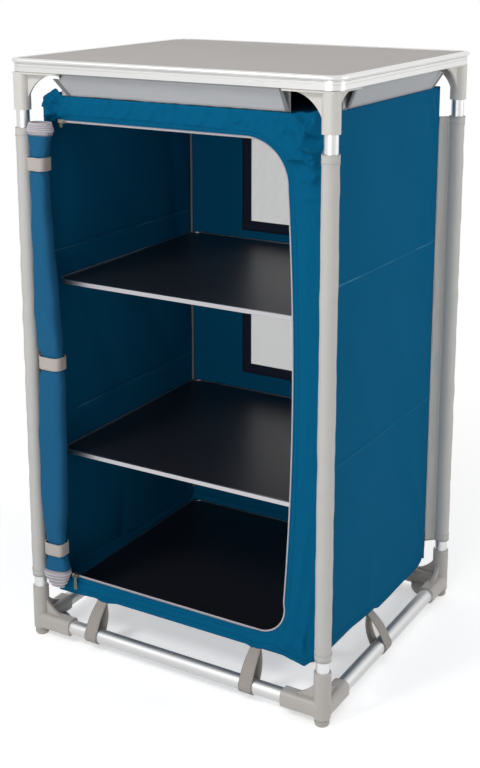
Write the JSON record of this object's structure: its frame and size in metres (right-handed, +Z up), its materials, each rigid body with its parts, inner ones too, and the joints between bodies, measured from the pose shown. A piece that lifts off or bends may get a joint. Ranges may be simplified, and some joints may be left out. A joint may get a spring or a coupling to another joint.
{
  "type": "camping kitchen unit",
  "caption": "Free-standing camping cupboard: fabric cabinet with shelves and a rolled-up zip door, hung in a tubular frame under a rimmed worktop.",
  "frame": {"origin": "middle of the footprint of the legs and worktop, on the ground under the feet", "axes": "+Z up, -Y out of the door opening, +X to the right of a person who stands in front of it"},
  "size_m": [0.6, 0.5255, 1.02],
  "materials": {
    "laminate": "satin laminate on board",
    "rim_metal": "satin anodised",
    "bracket_plastic": "satin moulded",
    "base_plastic": "satin moulded",
    "foot_plastic": "matte moulded",
    "tube_metal": "satin anodised",
    "ferrule_plastic": "matte moulded",
    "screw_steel": "plated",
    "sleeve_cloth": "woven, coated",
    "body_cloth": "woven, coated",
    "net": "fine knitted netting",
    "border_cloth": "woven, coated",
    "flap_cloth": "woven, coated",
    "webbing_cloth": "woven webbing",
    "roll_cloth": "woven, coated",
    "strap_cloth": "woven elastic",
    "zip_tape": "woven tape with a moulded coil",
    "zip_metal": "satin enamel",
    "zip_ribbon": "woven ribbon",
    "shelf_skin": "semi-gloss laminate on thin board",
    "shelf_metal": "satin anodised"
  },
  "bodies": {
    "frame_and_cabinet": {"base_loops": "webbing_cloth", "base_tube_back": "tube_metal", "base_tube_front": "tube_metal", "base_tube_left": "tube_metal", "base_tube_right": "tube_metal", "bottom_bracket_bl": "base_plastic", "bottom_bracket_br": "base_plastic", "bottom_bracket_fl": "base_plastic", "bottom_bracket_fr": "base_plastic", "door_roll": "roll_cloth", "door_straps": "strap_cloth", "leg_ferrules": "ferrule_plastic", "leg_lower_bl": "tube_metal", "leg_lower_br": "tube_metal", "leg_lower_fl": "tube_metal", "leg_lower_fr": "tube_metal", "leg_upper_bl": "tube_metal", "leg_upper_br": "tube_metal", "leg_upper_fl": "tube_metal", "leg_upper_fr": "tube_metal", "mesh_window_lower": "net", "mesh_window_upper": "net", "panel_back": "body_cloth", "panel_floor": "body_cloth", "panel_front": "body_cloth", "panel_left": "body_cloth", "panel_right": "body_cloth", "panel_roof": "body_cloth", "shelf_floor_board": "shelf_skin", "shelf_floor_edging": "shelf_metal", "shelf_lower_board": "shelf_skin", "shelf_lower_edging": "shelf_metal", "shelf_upper_board": "shelf_skin", "shelf_upper_edging": "shelf_metal", "shelf_webbing": "body_cloth", "sleeve_bl": "sleeve_cloth", "sleeve_br": "sleeve_cloth", "sleeve_fl": "sleeve_cloth", "sleeve_fr": "sleeve_cloth", "top_flap_back": "flap_cloth", "top_flap_front": "flap_cloth", "top_flap_left": "flap_cloth", "top_flap_right": "flap_cloth", "window_borders": "border_cloth", "zipper_track": "zip_tape"},
    "tabletop": {"table_board": "laminate", "table_rim": "rim_metal", "bracket_screws": "screw_steel", "top_bracket_fl": "bracket_plastic", "top_bracket_fr": "bracket_plastic", "top_bracket_bl": "bracket_plastic", "top_bracket_br": "bracket_plastic"},
    "slider_top": {"zipper_slider_top": "zip_metal"},
    "slider_bottom": {"zipper_slider_bottom": "zip_metal"},
    "pull_top": {"pull_tab_top": "zip_metal"},
    "pull_bottom": {"pull_tab_bottom": "zip_ribbon"},
    "foot_fl": {"foot_fl": "foot_plastic"},
    "foot_fr": {"foot_fr": "foot_plastic"},
    "foot_bl": {"foot_bl": "foot_plastic"},
    "foot_br": {"foot_br": "foot_plastic"}
  },
  "joints": [
    {"name": "tabletop_lift", "type": "slide", "parent": "frame_and_cabinet", "child": "tabletop", "axis": [0, 0, 1], "range_m": [0, 0.08]},
    {"name": "slider_top_run", "type": "slide", "parent": "frame_and_cabinet", "child": "slider_top", "axis": [1, 0, 0], "range_m": [0, 0.32]},
    {"name": "slider_bottom_run", "type": "slide", "parent": "frame_and_cabinet", "child": "slider_bottom", "axis": [1, 0, 0], "range_m": [0, 0.34]},
    {"name": "pull_top_swing", "type": "hinge", "parent": "slider_top", "child": "pull_top", "pos_m": [-0.215, -0.2283, 0.9183], "axis": [-1, 0, 0], "range_deg": [0, 80]},
    {"name": "pull_bottom_swing", "type": "hinge", "parent": "slider_bottom", "child": "pull_bottom", "pos_m": [-0.215, -0.2283, 0.1162], "axis": [-1, 0, 0], "range_deg": [0, 80]},
    {"name": "foot_fl_turn", "type": "hinge", "parent": "frame_and_cabinet", "child": "foot_fl", "pos_m": [-0.2795, -0.2445, 0], "axis": [0, 0, 1], "continuous": true},
    {"name": "foot_fr_turn", "type": "hinge", "parent": "frame_and_cabinet", "child": "foot_fr", "pos_m": [0.2795, -0.2445, 0], "axis": [0, 0, 1], "continuous": true},
    {"name": "foot_bl_turn", "type": "hinge", "parent": "frame_and_cabinet", "child": "foot_bl", "pos_m": [-0.2795, 0.2445, 0], "axis": [0, 0, 1], "continuous": true},
    {"name": "foot_br_turn", "type": "hinge", "parent": "frame_and_cabinet", "child": "foot_br", "pos_m": [0.2795, 0.2445, 0], "axis": [0, 0, 1], "continuous": true}
  ]
}
